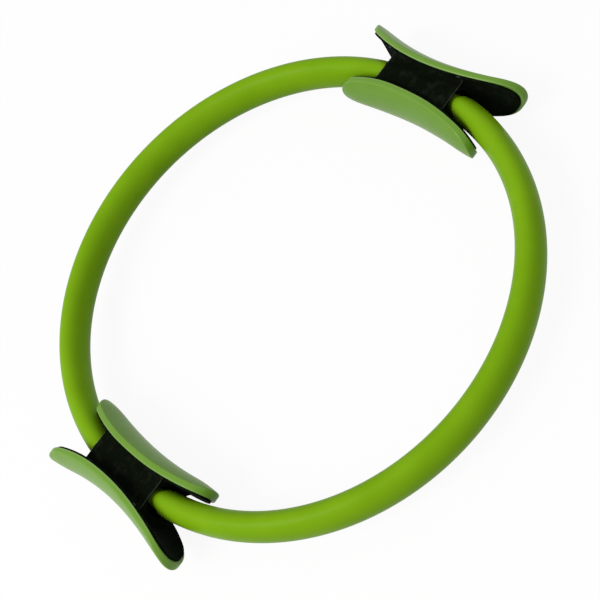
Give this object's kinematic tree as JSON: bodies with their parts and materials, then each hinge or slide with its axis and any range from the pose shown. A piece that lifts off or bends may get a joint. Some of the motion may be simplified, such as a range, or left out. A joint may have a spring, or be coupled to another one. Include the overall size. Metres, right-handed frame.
{
  "type": "pilates ring",
  "caption": "Springy foam-covered hoop with opposite saddle-shaped double handles, padded inside and outside, squeezed or pulled apart against the bend of its fibreglass core.",
  "frame": {"origin": "on the floor under the centre of the hoop, with the ring lying flat on the lower sides of its outer pads", "axes": "+Z along the hoop's axis, +X from the left handle to the right handle, +Y across, towards the rear half of the hoop"},
  "size_m": [0.4082, 0.3878, 0.056],
  "materials": {
    "fibreglass": "pultruded fibreglass strip",
    "hoop_foam": "yellow-green closed-cell foam with a satin skin",
    "black_plastic": "black moulded plastic, satin",
    "pad_foam": "pale green moulded foam, satin",
    "screw_steel": "zinc-plated steel"
  },
  "bodies": {
    "left_handle": {"left_handle_moulding": "black_plastic", "left_outer_pad": "pad_foam", "left_inner_pad": "pad_foam", "left_screws": "screw_steel", "front_spring_band": "fibreglass", "rear_spring_band": "fibreglass", "front_foam_sleeve": "hoop_foam", "rear_foam_sleeve": "hoop_foam"},
    "right_handle": {"right_handle_moulding": "black_plastic", "right_outer_pad": "pad_foam", "right_inner_pad": "pad_foam", "right_screws": "screw_steel"}
  },
  "joints": [
    {"name": "squeeze", "type": "slide", "parent": "left_handle", "child": "right_handle", "axis": [-1, 0, 0], "range_m": [-0.03, 0.09], "stiffness_N_per_m": 1500, "deforming": ["front_spring_band", "rear_spring_band", "front_foam_sleeve", "rear_foam_sleeve"]}
  ]
}
